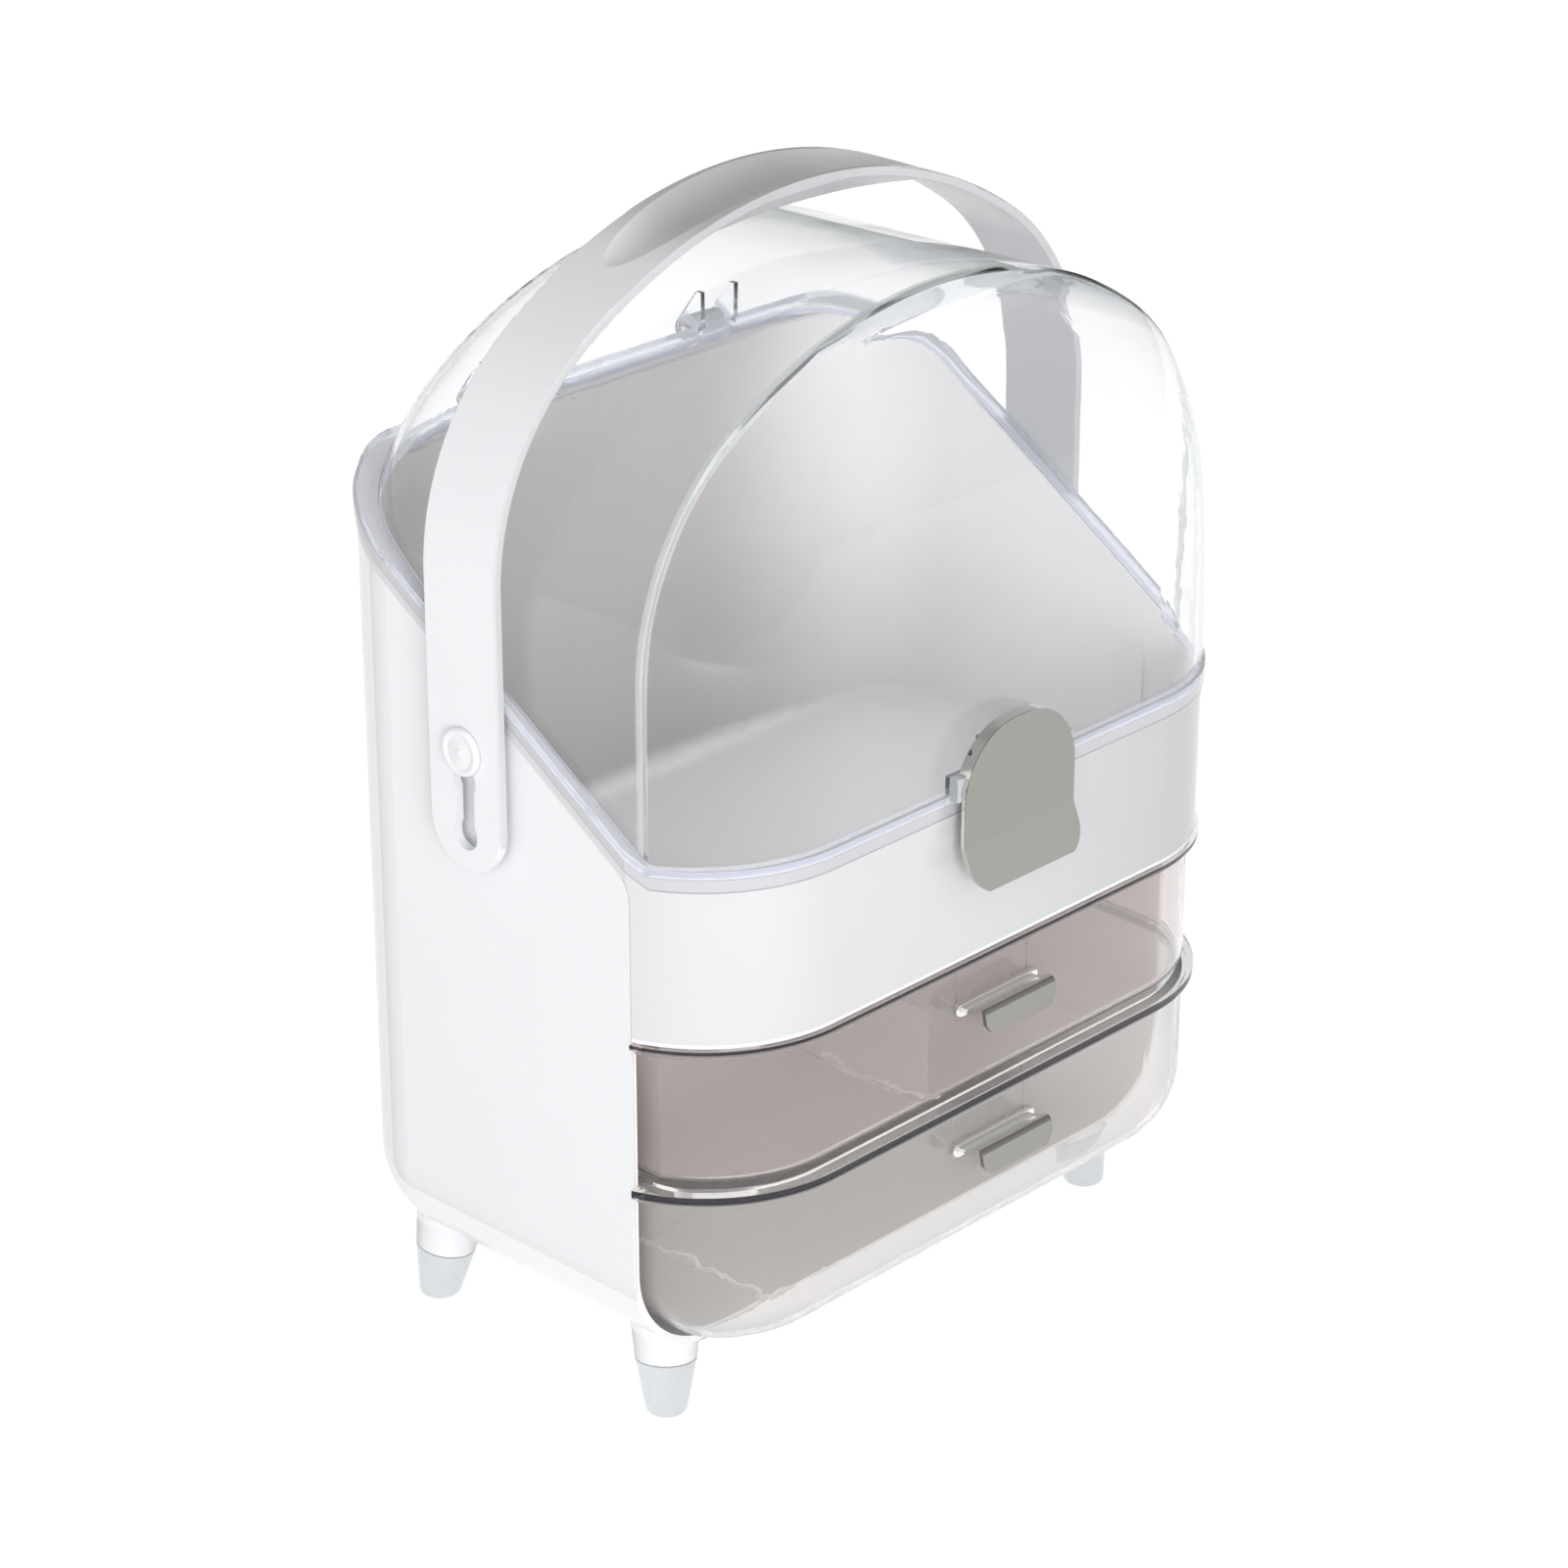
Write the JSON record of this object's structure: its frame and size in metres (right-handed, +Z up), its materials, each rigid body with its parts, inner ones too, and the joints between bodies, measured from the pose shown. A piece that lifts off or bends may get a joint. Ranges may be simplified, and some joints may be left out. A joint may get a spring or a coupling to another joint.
{
  "type": "makeup organizer with drawers",
  "caption": "Portable vanity case on feet: clear domed lid with a front clasp over a sloped tub, clear bow-fronted drawers below and an arched carrying handle.",
  "frame": {"origin": "on the ground under the middle of the overall box, where the feet stand", "axes": "+Z up; -Y is the front, where the drawers open; +X is to the right seen from the front"},
  "size_m": [0.2966, 0.2128, 0.4105],
  "materials": {
    "white_shell": "smooth glossy white",
    "white_tub": "smooth glossy white",
    "silver_tip": "satin plated",
    "clear_lid": "clear polished",
    "smoky_clear": "clear, slightly smoky, polished",
    "chrome": "polished plating over plastic",
    "white_handle": "fine satin",
    "white_clip": "plain",
    "pin_steel": "drawn wire"
  },
  "bodies": {
    "casing": {"outer_casing": "white_shell", "foot_tip_front_left": "silver_tip", "foot_tip_front_right": "silver_tip", "foot_tip_back_left": "silver_tip", "foot_tip_back_right": "silver_tip", "upper_tub": "white_tub", "hinge_pin_left": "pin_steel", "hinge_pin_right": "pin_steel"},
    "lid": {"lid": "clear_lid"},
    "latch": {"latch_tab": "chrome", "latch_pin": "pin_steel"},
    "handle_pivots": {"handle_pivot_left": "white_handle", "handle_pivot_right": "white_handle", "pivot_clip_left": "white_clip", "pivot_clip_right": "white_clip"},
    "handle": {"handle": "white_handle"},
    "upper_drawer": {"upper_drawer": "smoky_clear", "upper_divider": "smoky_clear", "upper_pull": "chrome"},
    "lower_drawer": {"lower_drawer": "smoky_clear", "lower_pull": "chrome"}
  },
  "joints": [
    {"name": "lid_hinge", "type": "hinge", "parent": "casing", "child": "lid", "pos_m": [0, 0.10194, 0.32316], "axis": [-1, 0, 0], "range_deg": [0, 64]},
    {"name": "handle_swing", "type": "hinge", "parent": "casing", "child": "handle_pivots", "pos_m": [0, 0.01644, 0.244], "axis": [-1, 0, 0], "range_deg": [0, 141]},
    {"name": "handle_lift", "type": "slide", "parent": "handle_pivots", "child": "handle", "axis": [0, 0, 1], "range_m": [0, 0.0315]},
    {"name": "latch_tip", "type": "hinge", "parent": "lid", "child": "latch", "pos_m": [0, -0.09636, 0.238], "axis": [-1, 0, 0], "range_deg": [0, 18]},
    {"name": "upper_drawer_slide", "type": "slide", "parent": "casing", "child": "upper_drawer", "axis": [0, -1, 0], "range_m": [0, 0.11]},
    {"name": "lower_drawer_slide", "type": "slide", "parent": "casing", "child": "lower_drawer", "axis": [0, -1, 0], "range_m": [0, 0.11]}
  ],
  "couplings": [
    {"joint": "handle_swing", "follows": "lid_hinge", "ratio": 2.2},
    {"joint": "handle_lift", "follows": "lid_hinge", "m_per_rad": 0.0282}
  ]
}
